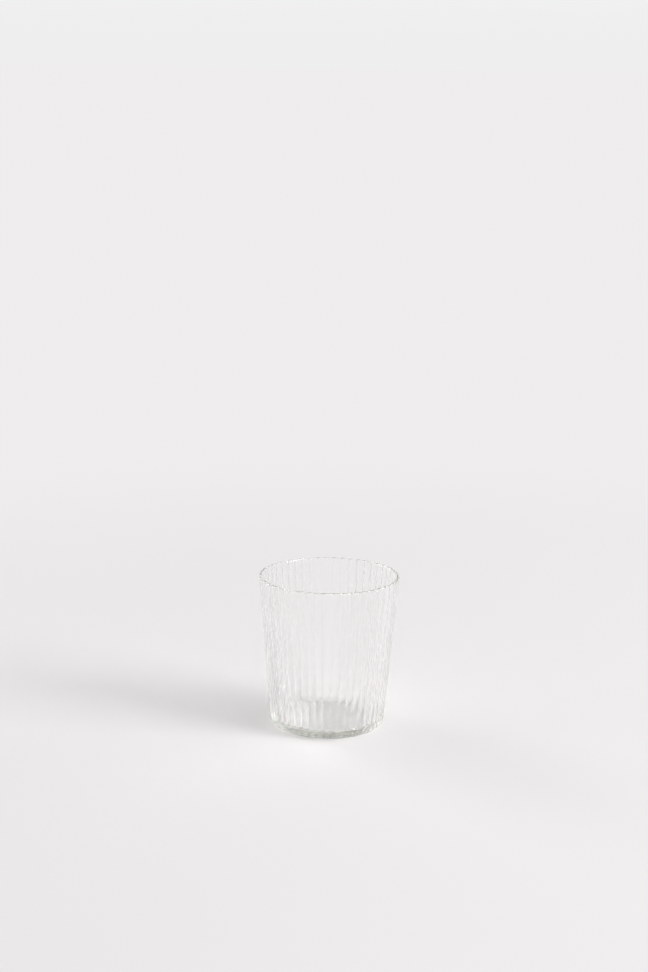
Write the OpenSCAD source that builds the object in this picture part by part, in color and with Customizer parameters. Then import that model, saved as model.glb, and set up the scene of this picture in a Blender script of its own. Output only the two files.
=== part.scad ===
// Ribbed drinking glass for tea, one piece of clear glass: a tapered tumbler with a reeded
// outer wall, a smooth inside, a rounded lip and a floor that turns up in a rounded heel.
// It stands on the plane z = 0 with the middle of the foot at the origin and +Z up.

/* [Overall size] */
// Height from the table to the top of the lip
height = 90; // [80:1:110]
// Diameter over the rib crests, where the line of the wall meets the plane of the lip
rim_d = 82; // [76:1:90]
// Diameter over the rib crests, where the line of the wall meets the table
base_d = 66; // [62:1:70]

/* [Ribs] */
// Number of ribs round the glass
rib_count = 50; // [40:1:60]
// Depth of the grooves between the ribs at the lip, shrinking as the glass narrows
rib_depth = 0.9; // [0.7:0.05:1.2]

/* [Wall and lip] */
// Thickness of the wall behind a groove
wall = 1.1; // [0.9:0.1:2]
// Radius that rounds the lip outside
outer_lip_r = 1; // [0.5:0.1:1]
// Radius that rounds the lip inside
inner_lip_r = 0.6; // [0.3:0.1:0.6]

/* [Floor and foot] */
// Thickness of the floor, from the table to the inside
floor_t = 4.5; // [3:0.5:8]
// Radius of the inside corner between the floor and the wall
inner_corner_r = 3; // [1.5:0.5:5]
// Radius of the rounded heel between the wall and the foot, over which the grooves run out
heel_r = 5; // [4:0.5:6.5]
// Diameter of the shallow hollow under the foot
punt_d = 50; // [40:1:51]
// Depth of the hollow under the foot
punt_depth = 0.3; // [0.2:0.1:1.5]

/* [Hidden] */
revolve_facets = 180;
rib_facets = 48;
over = 2;                                // overrun of every cut
crest_gap = 0.1;                         // from the rib crests out to the turned outline
core_share = 0.5;                        // of the wall, taken by the core under the ribs
front = -90;                             // the first rib faces -Y
rim_r = rim_d / 2;
base_r = base_d / 2;
taper = atan((rim_r - base_r) / height);
apex_depth = base_r / tan(taper);        // the cone of the wall ends this far below the table

// Radius over the rib crests, in the grooves and inside the wall at height z
groove_share = 1 - rib_depth / rim_r;
function crest_r(z) = base_r + z * tan(taper);
function groove_r(z) = crest_r(z) * groove_share;
function inner_r(z) = groove_r(z) - wall;

// Round section of one rib at the lip: it touches the crest circle and ends in two grooves
half_pitch = 180 / rib_count;
rib_drop = rim_r * (1 - groove_share * cos(half_pitch));
rib_chord_2 = pow(rim_r, 2) * (1 + pow(groove_share, 2) - 2 * groove_share * cos(half_pitch));
rib_r = rib_chord_2 / (2 * rib_drop);
rib_half_angle = atan(rib_r / (apex_depth + height) * cos(taper));
rib_tilt = taper - rib_half_angle;
rib_start = apex_depth - over;
rib_length = height / cos(taper) + 2 * over;

// A straight cone out of the apex of the wall, so ribs and grooves narrow with the glass
module rib() {
    translate([0, 0, -apex_depth])
        rotate([0, rib_tilt, 0])
            translate([0, 0, rib_start])
                cylinder(h = rib_length, r1 = rib_start * tan(rib_half_angle),
                         r2 = (rib_start + rib_length) * tan(rib_half_angle),
                         $fn = rib_facets);
}

module rib_ring() {
    for (i = [0 : rib_count - 1])
        rotate([0, 0, front + i * 360 / rib_count])
            rib();
}

// Plain cone that joins the ribs up under their grooves
module core() {
    core_base_r = inner_r(-over) + core_share * wall;
    core_top_r = inner_r(height + over) + core_share * wall;
    translate([0, 0, -over])
        cylinder(h = height + 2 * over, r1 = core_base_r, r2 = core_top_r,
                 $fn = revolve_facets);
}

// Half outline of the glass turned about its axis: foot, round heel, line of the wall and lip
module outer_half() {
    heel_x = crest_r(heel_r) + crest_gap - heel_r / cos(taper);
    lip_z = height - outer_lip_r;
    lip_x = crest_r(lip_z) + crest_gap - outer_lip_r / cos(taper);
    translate([heel_x, heel_r])
        circle(r = heel_r, $fn = rib_facets);
    translate([lip_x, lip_z])
        circle(r = outer_lip_r, $fn = rib_facets);
    polygon([
        [0, 0],
        [heel_x, 0],
        [heel_x + heel_r * cos(taper), heel_r - heel_r * sin(taper)],
        [lip_x + outer_lip_r * cos(taper), lip_z - outer_lip_r * sin(taper)],
        [lip_x, height],
        [0, height]
    ]);
}

// Shallow dish under the foot, a slice of a large ball
module punt() {
    punt_r = (pow(punt_d / 2, 2) + pow(punt_depth, 2)) / (2 * punt_depth);
    translate([0, 0, punt_depth - punt_r])
        sphere(r = punt_r, $fn = revolve_facets);
}

// Half outline of the inside: flat floor, round corner, smooth wall and rounded mouth
module inner_half() {
    corner_z = floor_t + inner_corner_r;
    corner_x = inner_r(corner_z) - inner_corner_r / cos(taper);
    lip_z = height - inner_lip_r;
    lip_x = inner_r(lip_z) + inner_lip_r / cos(taper);
    translate([corner_x, corner_z])
        circle(r = inner_corner_r, $fn = rib_facets);
    difference() {
        polygon([
            [0, floor_t],
            [corner_x, floor_t],
            [corner_x + inner_corner_r * cos(taper), corner_z - inner_corner_r * sin(taper)],
            [lip_x - inner_lip_r * cos(taper), lip_z + inner_lip_r * sin(taper)],
            [lip_x, lip_z],
            [lip_x, height + over],
            [0, height + over]
        ]);
        translate([lip_x, lip_z])
            circle(r = inner_lip_r, $fn = rib_facets);
    }
}

module tumbler() {
    color([0.90, 0.95, 0.92, 0.4])
        difference() {
            intersection() {
                union() {
                    core();
                    rib_ring();
                }
                rotate_extrude($fn = revolve_facets)
                    outer_half();
            }
            punt();
            rotate_extrude($fn = revolve_facets)
                inner_half();
        }
}

tumbler();
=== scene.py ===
import math
import bpy
import numpy as np
from mathutils import Matrix, Vector


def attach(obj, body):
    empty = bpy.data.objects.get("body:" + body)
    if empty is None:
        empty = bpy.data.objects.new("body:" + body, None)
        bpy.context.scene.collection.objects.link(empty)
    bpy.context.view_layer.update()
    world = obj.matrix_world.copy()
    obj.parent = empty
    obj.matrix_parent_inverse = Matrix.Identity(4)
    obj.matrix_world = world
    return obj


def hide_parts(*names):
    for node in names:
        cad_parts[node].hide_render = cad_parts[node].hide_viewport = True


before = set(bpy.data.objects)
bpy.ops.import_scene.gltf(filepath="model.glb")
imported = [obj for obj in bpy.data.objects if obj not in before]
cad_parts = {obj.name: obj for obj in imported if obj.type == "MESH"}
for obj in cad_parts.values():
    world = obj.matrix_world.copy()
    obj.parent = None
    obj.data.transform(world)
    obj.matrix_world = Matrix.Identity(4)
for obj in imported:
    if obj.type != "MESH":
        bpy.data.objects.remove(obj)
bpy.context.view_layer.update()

MM = 0.001
UP = (0, 0, 1)
WHITE = (1, 1, 1, 1)

# Sizes of the glass in millimetres, the same as in the part's source
HEIGHT = 90.0
RIM_R = 41.0
BASE_R = 33.0
RIBS = 50
RIB_DEPTH = 0.9
WALL = 1.1
FLOOR_T = 4.5
INNER_CORNER_R = 3.0
HEEL_R = 5.0
PUNT_R = 25.0
PUNT_DEPTH = 0.3

# Angle of the wall, angle from rib to rib, and radius of the grooves as a share of the crests'
TAPER = math.atan((RIM_R - BASE_R) / HEIGHT)
PITCH = 2 * math.pi / RIBS
GROOVE = 1 - RIB_DEPTH / RIM_R

# Roundings in millimetres that the part's source leaves out: the height of the lip, and the width
# of the blends in the bottoms of the grooves and where the ribs run out over the heel
LIP_H = 1.0
GROOVE_ROUND = 0.25
RUN_ROUND = 0.15

# Columns of the mesh on each rib, and how far they are drawn together in the grooves, from 0 to 1
PER_RIB = 16
CLUSTER = 0.7

# Steps of the mesh along each stretch of the outline
PUNT_STEPS = 6
HEEL_STEPS = 22
WALL_STEPS = 17
LIP_STEPS = 16
INSIDE_STEPS = 13
CORNER_STEPS = 12
FLOOR_STEPS = 4

# Glass: index, then the tint that light takes on in its thickness and the strength of it per metre
GLASS_INDEX = 1.5
GLASS_TINT = (0.21, 0.25, 0.04, 1)
GLASS_DENSITY = 3.0

# Ripple of the pressed surface: noise cells in a metre, longer along the glass than round it, and
# the ripple's strength and its depth in metres
RIPPLE_SCALE = 60
RIPPLE_STRETCH = (1, 1, 0.5)
RIPPLE_DETAIL = 1
RIPPLE_STRENGTH = 0.03
RIPPLE_DEPTH = 0.0001

# Floor in metres: half its width, its gap below the foot, and its noise cells in a metre
SHEET_HALF = 24
SHEET_GAP = 0.0001
SHEET_SCALE = 3
SHEET_ROUGHNESS = 0.9

# Tones of the floor, each with its place on the scale of the noise
SHEET_TONES = [
    (0.3, (0.825, 0.808, 0.808, 1)),
    (0.7, (0.835, 0.82, 0.82, 1)),
]

# Tone of the backdrop, and the distances in metres over which the floor fades to it
BACKDROP = (0.862, 0.847, 0.852, 1)
FADE_START = 0.3
FADE_END = 0.8

# Lamps: name, place and side length in metres, and power in watts. All face one point
LAMPS = [
    ("key", (1.875, -0.75, 0.9), 1.06, 26.5),
    ("fill", (-1.5, 1.25, 1.06), 0.88, 8.7),
]
LAMP_AIM = (0, 0, 0.05)

# Levels of the even light overhead and of the pale horizon
EVEN_LEVEL = 0.36
HORIZON_LEVEL = 0.855

# Sines of the elevations between which the even light comes in, and between which the pale horizon
# ends where it is high and where it is low
EVEN_RISE = (-0.004, 0.166)
HIGH_HORIZON_END = (0.05, 0.11)
LOW_HORIZON_END = (0.03, 0.07)

# Middle of the sector with the low horizon, as azimuth and elevation in degrees, and the cosines
# of the angles off it between which the horizon goes from high to low
LOW_SECTOR = (45, 0)
LOW_SECTOR_EDGE = (0.6, 0.85)

# Brighter patches overhead: middle, cosines of the angles off it at which the rise starts and
# would be full, and full level
PATCHES = [
    ((67.6, 48.3), 0.604, 1.103, 1.49),
    ((258.5, 34.3), 0.88, 0.97, 0.8),
]

# The photograph's view: focal length and picture height in pixels, place in millimetres, and in
# degrees how far the camera looks down, leans and is turned round the glass
FOCAL = 2000
PICTURE_H = 972
CAMERA_PLACE = (-3.756, -1122.11, 395.491)
CAMERA_DOWN = 12.691
CAMERA_LEAN = 0.813
CAMERA_TURN = 0.4
SENSOR_H = 36
SENSOR_W = 24

# Most bounces of a path of light, which crosses many faces in the ribs and along the wall
BOUNCES = 250


# Radius over the rib crests at a height
def crest_r(z):
    return BASE_R + z * math.tan(TAPER)


# Radius inside the wall at a height
def inner_r(z):
    return crest_r(z) * GROOVE - WALL


# Smooth smaller of two numbers, blended over a width
def smooth_min(a, b, width):
    h = np.clip(0.5 + 0.5 * (b - a) / width, 0, 1)
    return b * (1 - h) + a * h - width * h * (1 - h)


# Radius of the ribbed wall as a share of the crest radius, for each angle from a crest
def rib_share(angle):
    half = PITCH / 2
    drop = 1 - GROOVE * math.cos(half)
    round_r = (1 + GROOVE ** 2 - 2 * GROOVE * math.cos(half)) / (2 * drop)

    # Outside of a rib's round section at an angle off its middle, as a share of the crest radius
    def rib(off):
        side = (1 - round_r) * np.sin(off)
        return (1 - round_r) * np.cos(off) + np.sqrt(np.clip(round_r ** 2 - side ** 2, 0, None))

    off = np.abs((angle + half) % PITCH - half)
    return -smooth_min(-rib(off), -rib(PITCH - off), GROOVE_ROUND / RIM_R)


# Rows of radii and heights from under the foot over the heel and the lip to the inside floor
def rows_of(share):
    ones = np.ones(len(share))
    rows = []

    def add_row(r, z):
        rows.append((r * ones, z * ones))

    # Hollow under the foot and the ring that it stands on
    for i in range(1, PUNT_STEPS + 1):
        q = i / PUNT_STEPS
        add_row(PUNT_R * q, PUNT_DEPTH * (1 - q * q))
    heel_x = crest_r(HEEL_R) - HEEL_R / math.cos(TAPER)
    add_row((PUNT_R + heel_x) / 2, 0)

    # Round heel, with the ribs running out over it
    for i in range(HEEL_STEPS + 1):
        a = -math.pi / 2 + (math.pi / 2 - TAPER) * i / HEEL_STEPS
        heel = heel_x + HEEL_R * math.cos(a)
        z = HEEL_R * (1 + math.sin(a))
        add_row(smooth_min(crest_r(z) * share, heel, RUN_ROUND), z)

    # Ribbed wall
    wall_low = HEEL_R * (1 - math.sin(TAPER))
    wall_high = HEIGHT - LIP_H
    for i in range(1, WALL_STEPS):
        z = wall_low + (wall_high - wall_low) * i / WALL_STEPS
        add_row(crest_r(z) * share, z)

    # Lip, a half ellipse from the ribbed outside to the smooth inside
    for i in range(LIP_STEPS + 1):
        a = math.pi * i / LIP_STEPS
        z = wall_high + LIP_H * math.sin(a)
        outer = crest_r(z) * share
        inner = inner_r(z)
        add_row((outer + inner) / 2 + (outer - inner) / 2 * math.cos(a), z)

    # Inside wall
    corner_z = FLOOR_T + INNER_CORNER_R
    corner_x = inner_r(corner_z) - INNER_CORNER_R / math.cos(TAPER)
    corner_top = corner_z - INNER_CORNER_R * math.sin(TAPER)
    for i in range(1, INSIDE_STEPS):
        z = wall_high + (corner_top - wall_high) * i / INSIDE_STEPS
        add_row(inner_r(z), z)

    # Inside corner and floor
    for i in range(CORNER_STEPS + 1):
        a = -TAPER - (math.pi / 2 - TAPER) * i / CORNER_STEPS
        add_row(corner_x + INNER_CORNER_R * math.cos(a), corner_z + INNER_CORNER_R * math.sin(a))
    for i in range(1, FLOOR_STEPS):
        add_row(corner_x * (1 - i / FLOOR_STEPS), FLOOR_T)
    return rows


# The glass as one closed skin, with the first crest facing -Y
def make_glass():
    n = RIBS * PER_RIB
    here = np.arange(n)
    after = (here + 1) % n
    across = (here % PER_RIB) / PER_RIB
    shift = CLUSTER * np.sin(2 * math.pi * across) / (2 * math.pi)
    angle = (here // PER_RIB + across + shift) * PITCH
    rows = rows_of(rib_share(angle))
    sine = np.sin(angle)
    cosine = np.cos(angle)
    grid = np.array([np.stack([r * sine, -r * cosine, z], -1) for r, z in rows]) * MM
    ends = np.array([[0, 0, PUNT_DEPTH], [0, 0, FLOOR_T]]) * MM
    verts = np.concatenate([grid.reshape(-1, 3), ends])

    # Faces between the rows, and fans that close the underside and the inside floor
    faces = []
    for i in range(len(rows) - 1):
        low = i * n
        high = low + n
        faces += np.stack([low + here, low + after, high + after, high + here], -1).tolist()
    last = (len(rows) - 1) * n
    faces += np.stack([np.full(n, len(verts) - 2), after, here], -1).tolist()
    faces += np.stack([np.full(n, len(verts) - 1), last + here, last + after], -1).tolist()
    mesh = bpy.data.meshes.new("glass")
    mesh.from_pydata(verts.tolist(), [], faces)
    mesh.update()
    mesh.polygons.foreach_set("use_smooth", [True] * len(mesh.polygons))

    # Shading normals of the true form, so that no facet shows
    round_way = np.roll(grid, -1, 1) - np.roll(grid, 1, 1)
    up_way = np.empty_like(grid)
    up_way[1:-1] = grid[2:] - grid[:-2]
    up_way[0] = grid[1] - grid[0]
    up_way[-1] = grid[-1] - grid[-2]
    normal = np.cross(round_way, up_way)
    normal /= np.linalg.norm(normal, axis=-1, keepdims=True)
    normal = np.concatenate([normal.reshape(-1, 3), [[0, 0, -1], UP]])
    mesh.normals_split_custom_set_from_vertices(normal.tolist())
    obj = bpy.data.objects.new("glass", mesh)
    bpy.context.scene.collection.objects.link(obj)
    return obj


# A new material with its tree, its shader and its output
def new_material(name):
    mat = bpy.data.materials.new(name)
    mat.use_nodes = True
    tree = mat.node_tree
    return mat, tree, tree.nodes["Principled BSDF"], tree.nodes["Material Output"]


# Result of one operation on two values, each a number or the output of another node
def math_node(tree, kind, a, b):
    node = tree.nodes.new("ShaderNodeMath")
    node.operation = kind
    for socket, value in zip(node.inputs, (a, b)):
        if isinstance(value, (int, float)):
            socket.default_value = value
        else:
            tree.links.new(value, socket)
    return node.outputs["Value"]


# Clear glass with a faint yellow-green in its thickness and a slight ripple of its surface
def glass_material():
    mat, tree, shader, out = new_material("clear_glass")
    shader.inputs["Base Color"].default_value = WHITE
    shader.inputs["Transmission Weight"].default_value = 1
    shader.inputs["Roughness"].default_value = 0
    shader.inputs["IOR"].default_value = GLASS_INDEX
    coord = tree.nodes.new("ShaderNodeTexCoord")
    stretch = tree.nodes.new("ShaderNodeMapping")
    stretch.inputs["Scale"].default_value = RIPPLE_STRETCH
    ripple = tree.nodes.new("ShaderNodeTexNoise")
    ripple.inputs["Scale"].default_value = RIPPLE_SCALE
    ripple.inputs["Detail"].default_value = RIPPLE_DETAIL
    bump = tree.nodes.new("ShaderNodeBump")
    bump.inputs["Strength"].default_value = RIPPLE_STRENGTH
    bump.inputs["Distance"].default_value = RIPPLE_DEPTH
    tree.links.new(coord.outputs["Object"], stretch.inputs["Vector"])
    tree.links.new(stretch.outputs["Vector"], ripple.inputs["Vector"])
    tree.links.new(ripple.outputs["Fac"], bump.inputs["Height"])
    tree.links.new(bump.outputs["Normal"], shader.inputs["Normal"])
    body = tree.nodes.new("ShaderNodeVolumeAbsorption")
    body.inputs["Color"].default_value = GLASS_TINT
    body.inputs["Density"].default_value = GLASS_DENSITY
    tree.links.new(body.outputs["Volume"], out.inputs["Volume"])
    return mat


# Wide pale matt floor, a hair below the foot. Far off it fades to the even tone of a backdrop
def make_sheet():
    half = SHEET_HALF
    verts = [(-half, -half, 0), (half, -half, 0), (half, half, 0), (-half, half, 0)]
    mesh = bpy.data.meshes.new("sheet")
    mesh.from_pydata(verts, [], [(0, 1, 2, 3)])
    obj = bpy.data.objects.new("sheet", mesh)
    obj.location.z = -SHEET_GAP
    bpy.context.scene.collection.objects.link(obj)
    mat, tree, shader, out = new_material("sheet")
    shader.inputs["Roughness"].default_value = SHEET_ROUGHNESS
    shader.inputs["Specular IOR Level"].default_value = 0
    coord = tree.nodes.new("ShaderNodeTexCoord")
    noise = tree.nodes.new("ShaderNodeTexNoise")
    noise.inputs["Scale"].default_value = SHEET_SCALE
    ramp = tree.nodes.new("ShaderNodeValToRGB")
    for element, (position, tone) in zip(ramp.color_ramp.elements, SHEET_TONES):
        element.position = position
        element.color = tone
    tree.links.new(coord.outputs["Object"], noise.inputs["Vector"])
    tree.links.new(noise.outputs["Fac"], ramp.inputs["Fac"])
    tree.links.new(ramp.outputs["Color"], shader.inputs["Base Color"])

    # Only the camera, reflections and glass see the backdrop's tone. Other light sees the floor
    away = tree.nodes.new("ShaderNodeVectorMath")
    away.operation = "LENGTH"
    fade = tree.nodes.new("ShaderNodeMapRange")
    fade.interpolation_type = "SMOOTHSTEP"
    fade.inputs["From Min"].default_value = FADE_START
    fade.inputs["From Max"].default_value = FADE_END
    path = tree.nodes.new("ShaderNodeLightPath")
    seen = math_node(tree, "MAXIMUM", path.outputs["Is Camera Ray"], path.outputs["Is Glossy Ray"])
    seen = math_node(tree, "MAXIMUM", seen, path.outputs["Is Transmission Ray"])
    share = math_node(tree, "MULTIPLY", seen, fade.outputs["Result"])
    pale = tree.nodes.new("ShaderNodeEmission")
    pale.inputs["Color"].default_value = BACKDROP
    mix = tree.nodes.new("ShaderNodeMixShader")
    tree.links.new(coord.outputs["Object"], away.inputs[0])
    tree.links.new(away.outputs["Value"], fade.inputs["Value"])
    tree.links.new(share, mix.inputs[0])
    tree.links.new(shader.outputs["BSDF"], mix.inputs[1])
    tree.links.new(pale.outputs["Emission"], mix.inputs[2])
    tree.links.new(mix.outputs["Shader"], out.inputs["Surface"])
    mesh.materials.append(mat)


# Soft white square lamp that faces the glass
def make_lamp(name, place, size, power):
    lamp = bpy.data.lights.new(name, "AREA")
    lamp.shape = "SQUARE"
    lamp.size = size
    lamp.energy = power
    obj = bpy.data.objects.new(name, lamp)
    obj.location = place
    obj.rotation_euler = (Vector(LAMP_AIM) - Vector(place)).to_track_quat("-Z", "Y").to_euler()
    bpy.context.scene.collection.objects.link(obj)


# Direction at an azimuth, counted from -Y towards +X, and an elevation
def toward(azimuth, elevation):
    a = math.radians(azimuth)
    e = math.radians(elevation)
    return math.cos(e) * math.sin(a), -math.cos(e) * math.cos(a), math.sin(e)


# Soft studio surroundings: even light overhead with two brighter patches, and a pale horizon that
# is lower in front and to the right, where the darker sky above it draws the ribs in the mouth
def make_world():
    world = bpy.data.worlds.new("studio")
    bpy.context.scene.world = world
    world.use_nodes = True
    tree = world.node_tree
    sky = tree.nodes["Background"]
    sky.inputs["Color"].default_value = WHITE
    coord = tree.nodes.new("ShaderNodeTexCoord")

    # Goes from one level to another as the cosine of the angle off the axis passes the edge
    def blend(axis, edge, start_level, end_level):
        dot = tree.nodes.new("ShaderNodeVectorMath")
        dot.operation = "DOT_PRODUCT"
        dot.inputs[1].default_value = axis
        ramp = tree.nodes.new("ShaderNodeMapRange")
        ramp.interpolation_type = "SMOOTHSTEP"
        ramp.inputs["From Min"].default_value = edge[0]
        ramp.inputs["From Max"].default_value = edge[1]
        ramp.inputs["To Min"].default_value = start_level
        ramp.inputs["To Max"].default_value = end_level
        tree.links.new(coord.outputs["Generated"], dot.inputs[0])
        tree.links.new(dot.outputs["Value"], ramp.inputs["Value"])
        return ramp.outputs["Result"]

    level = EVEN_LEVEL
    for middle, start, full, full_level in PATCHES:
        patch = blend(toward(*middle), (start, full), 0, full_level)
        level = math_node(tree, "ADD", level, patch)
    level = math_node(tree, "MULTIPLY", level, blend(UP, EVEN_RISE, 0, 1))
    horizon = blend(UP, HIGH_HORIZON_END, HORIZON_LEVEL, 0)
    outside = blend(toward(*LOW_SECTOR), LOW_SECTOR_EDGE, 1, 0)
    horizon = math_node(tree, "MULTIPLY", horizon, outside)
    low_horizon = blend(UP, LOW_HORIZON_END, HORIZON_LEVEL, 0)
    horizon = math_node(tree, "MAXIMUM", horizon, low_horizon)
    level = math_node(tree, "ADD", level, horizon)
    tree.links.new(level, sky.inputs["Strength"])


# Camera with the photograph's view of the glass
def make_camera():
    cam = bpy.data.cameras.new("camera")
    cam.sensor_fit = "VERTICAL"
    cam.sensor_height = SENSOR_H
    cam.sensor_width = SENSOR_W
    cam.lens = FOCAL / PICTURE_H * SENSOR_H
    cam.clip_start = 0.01
    cam.clip_end = 100
    obj = bpy.data.objects.new("camera", cam)
    bpy.context.scene.collection.objects.link(obj)
    down = Matrix.Rotation(math.radians(90 - CAMERA_DOWN), 4, "X")
    lean = Matrix.Rotation(math.radians(CAMERA_LEAN), 4, "Z")
    turn = Matrix.Rotation(math.radians(CAMERA_TURN), 4, "Z")
    obj.matrix_world = turn @ Matrix.Translation(Vector(CAMERA_PLACE) * MM) @ down @ lean
    bpy.context.scene.camera = obj


glass = make_glass()
glass.data.materials.append(glass_material())
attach(glass, "root")
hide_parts("tumbler")

make_sheet()
for row in LAMPS:
    make_lamp(*row)
make_world()
make_camera()

scene = bpy.context.scene
scene.view_settings.view_transform = "Standard"

# Light may take long paths through the glass, at its full strength and with no blur
scene.cycles.max_bounces = BOUNCES
scene.cycles.glossy_bounces = BOUNCES
scene.cycles.transmission_bounces = BOUNCES
scene.cycles.blur_glossy = 0
scene.cycles.sample_clamp_indirect = 0

bpy.context.view_layer.update()
